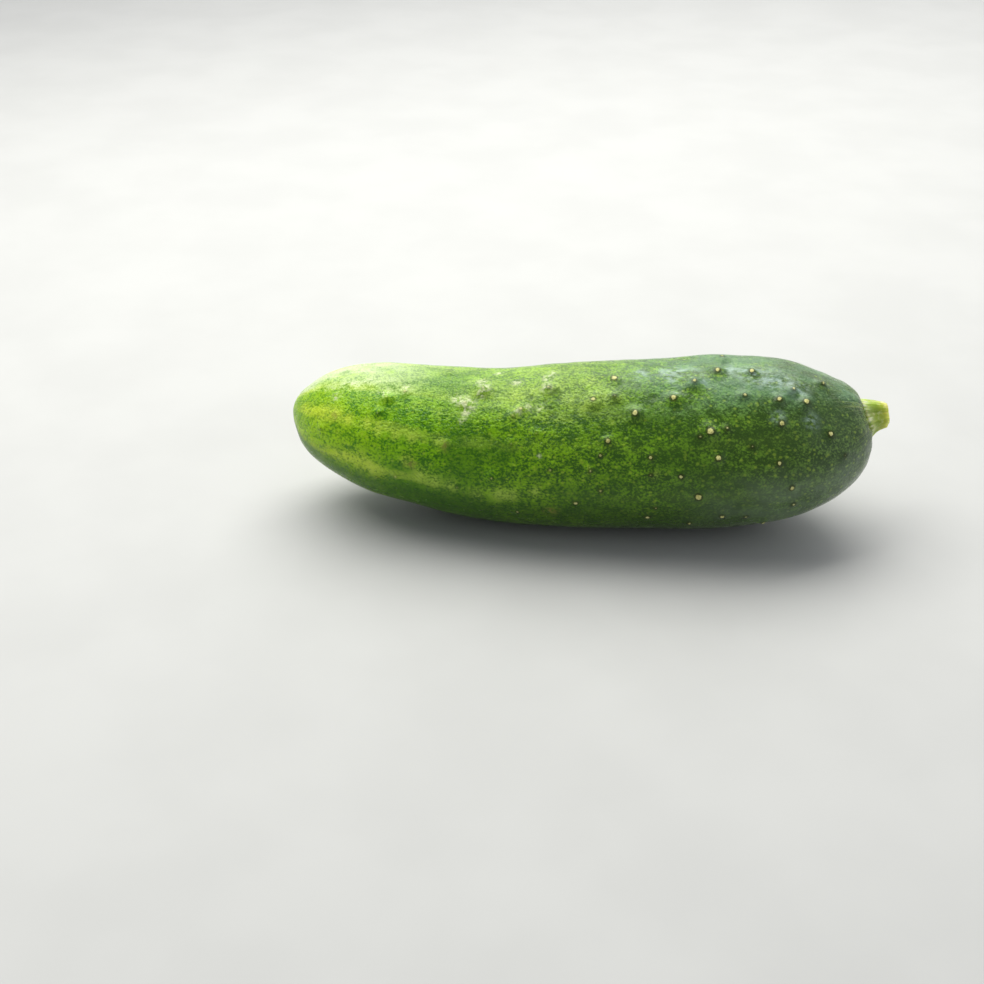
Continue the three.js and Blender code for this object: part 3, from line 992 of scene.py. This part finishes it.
    # The tan scar of the spine on top of each wart, with a dark rim
    scar_radius = s.stored("scar")
    uneven = s.times(s.math("SUBTRACT", s.noise(place, 1.6, 3.0, 0.6), 0.5), 0.7)
    outside = s.math("SUBTRACT", s.add(distance, uneven), scar_radius)
    rim = s.times(s.smooth(outside, *RIM_EDGES), s.smooth(share, 0.3, 0.6, 0.2, 0.6))
    colour = s.mix(rim, colour, tone(SCAR_RIM))
    scar = s.smooth(outside, *SCAR_EDGES)
    strength = s.smooth(scar_radius, 0.25, 0.5, 0.5, 1.0)
    strength = s.times(strength, s.smooth(share, 0.1, 0.5, 0.55, 0.95))
    grain = s.smooth(s.noise(place, 3.0, 2.0), 0.4, 0.62)
    browning = s.times(s.add(s.stored("tint"), grain), 0.5)
    scar_colour = s.mix(browning, tone(PALE_SCAR), tone(DARK_SCAR))
    colour = s.mix(s.times(scar, strength), colour, scar_colour)

    # Pale streaks on the shoulder by the stem
    from_stem = s.stored("from_stem")
    radiating = s.smooth(s.noise(s.scaled(streak, (24, 24, 2)), 1.0, 3.0), 0.5, 0.66)
    radiating = s.times(radiating, s.smooth(from_stem, *SHOULDER_EDGES))
    colour = s.mix(s.times(radiating, 0.5), colour, tone(SHOULDER_STREAK))

    # The corky button at the tip
    button = s.smooth(s.add(s.stored("from_blossom"), s.times(fine, 1.6)), *BUTTON_EDGES)
    cork = s.mix(s.smooth(fine, 0.4, 0.6), tone(PALE_CORK), tone(DARK_CORK))
    colour = s.mix(button, colour, cork)

    # The pale collar round the stem
    fringe = s.times(s.noise(s.scaled(streak, (9, 9, 1)), 1.0, 2.0), 3.0)
    collar = s.smooth(s.add(from_stem, fringe), *COLLAR_EDGES)
    colour = s.mix(s.times(collar, 0.85), colour, tone(COLLAR))

    # Bloom, scars and cork are duller than bare skin
    rough = s.smooth(s.noise(place, 0.6, 3.0), 0.3, 0.7, 0.17, 0.28)
    rough = s.add(rough, s.times(bluish_bloom_and_sheen, 0.2))
    rough = s.add(rough, s.times(s.math("MAXIMUM", scar, button), 0.3))

    # The skin's pores, finer by the stem, and its wrinkles at both ends
    pores = s.noise(place, 1.5, 3.0, 0.6)
    grainy = s.add(s.times(pores, 0.3), s.times(fine, 0.16))
    grainy = s.times(grainy, s.smooth(share, 0.5, 0.75, 1.0, 0.6))
    wrinkles = s.times(s.noise(s.scaled(streak, (46, 46, 9)), 1.0, 2.0), near_ends)
    s.bump(s.add(grainy, s.times(wrinkles, 0.1)))
    s.set(Base_Color=colour, Roughness=rough, Coat_Weight=0.08, Coat_Roughness=0.12, IOR=1.4)
    s.set(Specular_IOR_Level=0.3, Sheen_Weight=0.09, Sheen_Roughness=0.35, Sheen_Tint=tone(SHEEN))
    return s.material


def stem_material():
    s = Shader("stem")
    place = s.place()
    streak = s.stored_vector("streak")
    share = s.split(streak)[2]
    lines = s.noise(s.scaled(streak, (9, 9, 0.7)), 1.0, 3.0, 0.6)
    blotch = s.noise(place, 0.7, 3.0)
    colour = s.ramp(s.times(share, 0.5), STEM_GREENS)
    colour = s.mix(s.smooth(lines, 0.5, 0.74, 0.0, 0.4), colour, tone(STEM_LINE))
    colour = s.mix(s.smooth(blotch, 0.52, 0.72, 0.0, 0.55), colour, tone(STEM_BLOTCH))

    # Pale strands where it leaves the fruit
    strands = s.smooth(s.noise(s.scaled(streak, (7, 7, 2)), 1.0, 2.0), 0.46, 0.6)
    strands = s.times(strands, s.smooth(share, 0.34, 0.06, 0.0, 0.75))
    colour = s.mix(strands, colour, tone(STEM_STRAND))

    # The tissue that the cut lays open
    at_cut = s.smooth(share, 0.93, 1.02)
    tissue = s.smooth(s.cells(place, 1.5), 0.2, 0.6, 0.0, 0.5)
    colour = s.mix(s.times(at_cut, tissue), colour, tone(STEM_TISSUE))

    s.bump(s.add(s.times(lines, 0.1), s.times(s.noise(place, 2.4, 3.0), 0.07)))
    s.set(Base_Color=colour, Roughness=s.smooth(lines, 0.3, 0.7, 0.45, 0.66), IOR=1.4)
    s.set(Subsurface_Weight=0.85, Subsurface_Radius=(0.003, 0.004, 0.001), Subsurface_Scale=1.0)
    return s.material


def floor_material():
    s = Shader("floor")
    grain = s.noise(s.place(), 0.03, 3.0)
    first, second = FLOOR_GREYS
    s.set(Base_Color=s.mix(s.smooth(grain, 0.3, 0.7), tone(first), tone(second)), Roughness=0.7)
    return s.material


fruit.data.materials.append(skin_material())
stub.data.materials.append(stem_material())

# The floor, the light and the camera

FLOOR_REACH = 4  # metres, to each side
AIM = (0, 0, 0.018)  # metres; the middle of the fruit, where the lights point
SURROUNDINGS = (0.93, 0.96, 1, 1)
SURROUNDINGS_STRENGTH = 0.3
SENSOR_WIDTH = 36
NEAREST_SEEN = 0.01  # metres

floor_corners = [
    (-FLOOR_REACH, -FLOOR_REACH, 0),
    (FLOOR_REACH, -FLOOR_REACH, 0),
    (FLOOR_REACH, FLOOR_REACH, 0),
    (-FLOOR_REACH, FLOOR_REACH, 0),
]
floor_mesh = bpy.data.meshes.new("floor")
floor_mesh.from_pydata(floor_corners, [], [(0, 1, 2, 3)])
floor_mesh.materials.append(floor_material())
floor = bpy.data.objects.new("floor", floor_mesh)
bpy.context.collection.objects.link(floor)


def turned(start, end):
    """The turn of a light or camera at start that points it at end."""
    return (Vector(end) - Vector(start)).to_track_quat("-Z", "Y").to_euler()


def softbox(name, place, size, power, colour):
    """A soft light that points at the fruit: place and size in metres, power in watts."""
    data = bpy.data.lights.new(name, "AREA")
    data.shape = "RECTANGLE"
    data.size, data.size_y = size
    data.energy = power
    data.color = colour
    light = bpy.data.objects.new(name, data)
    light.location = place
    light.rotation_euler = turned(place, AIM)
    bpy.context.collection.objects.link(light)


softbox("overhead", place=(-0.12, 0.2, 0.48), size=(0.9, 0.4), power=5.2, colour=(1, 1, 0.92))
softbox("behind", place=(0, 0.95, 0.55), size=(1.6, 0.9), power=5.8, colour=(1, 1, 0.98))
softbox("side", place=(0.55, -0.15, 0.25), size=(0.4, 0.4), power=0.4, colour=(0.95, 0.98, 1))

world = bpy.data.worlds.new("surroundings")
world.use_nodes = True
background = world.node_tree.nodes["Background"]
background.inputs["Color"].default_value = SURROUNDINGS
background.inputs["Strength"].default_value = SURROUNDINGS_STRENGTH
bpy.context.scene.world = world
bpy.context.scene.view_settings.view_transform = "Standard"

camera_data = bpy.data.cameras.new("camera")
camera_data.lens = LENS
camera_data.sensor_width = SENSOR_WIDTH
camera_data.clip_start = NEAREST_SEEN
camera = bpy.data.objects.new("camera", camera_data)
camera.location = Vector(CAMERA_AT) * MM
camera.rotation_euler = turned(CAMERA_AT, CAMERA_LOOKS_AT)
bpy.context.collection.objects.link(camera)
bpy.context.scene.camera = camera
